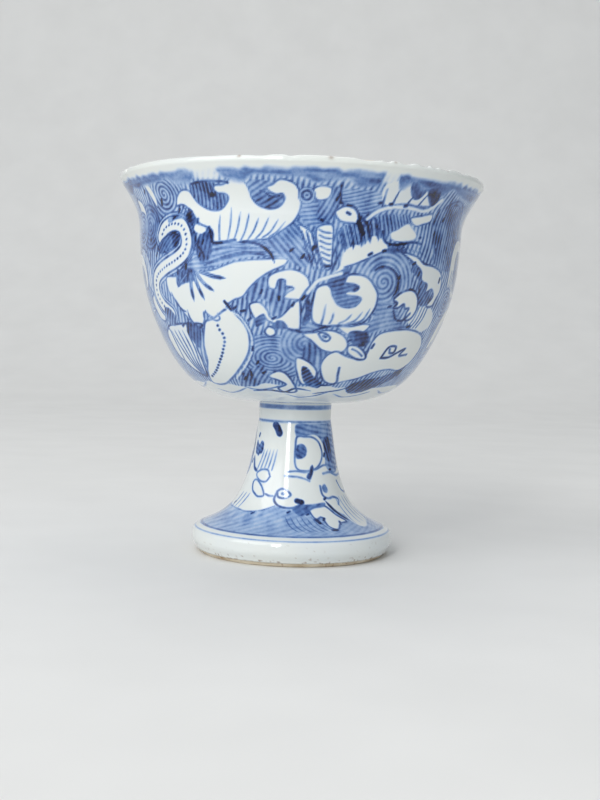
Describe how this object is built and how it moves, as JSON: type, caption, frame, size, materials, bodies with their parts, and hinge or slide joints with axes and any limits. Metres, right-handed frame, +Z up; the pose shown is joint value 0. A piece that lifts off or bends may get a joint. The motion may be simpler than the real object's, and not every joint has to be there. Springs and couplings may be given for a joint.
{
  "type": "stem cup",
  "caption": "Porcelain stem cup with an everted lip and a hollow flared stem, painted in underglaze blue with creatures over waves under clear glaze.",
  "frame": {"origin": "middle of the plane that the foot ring stands on", "axes": "+Z up along the axis that the cup is turned round; -Y faces the side that the picture shows"},
  "size_m": [0.08, 0.08, 0.0825],
  "materials": {
    "porcelain_body": "unglazed fired porcelain, matt",
    "slip": "unglazed fired slip, matt",
    "painted_glaze": "glossy clear glaze over cobalt blue painting",
    "clear_glaze": "glossy clear glaze, faintly bluish white"
  },
  "bodies": {
    "root": {"bowl_body": "porcelain_body", "bowl_outer_glaze": "painted_glaze", "bowl_inner_glaze": "clear_glaze", "luting_slip": "slip", "stem_body": "porcelain_body", "stem_outer_glaze": "painted_glaze", "stem_inner_glaze": "clear_glaze"}
  },
  "joints": []
}
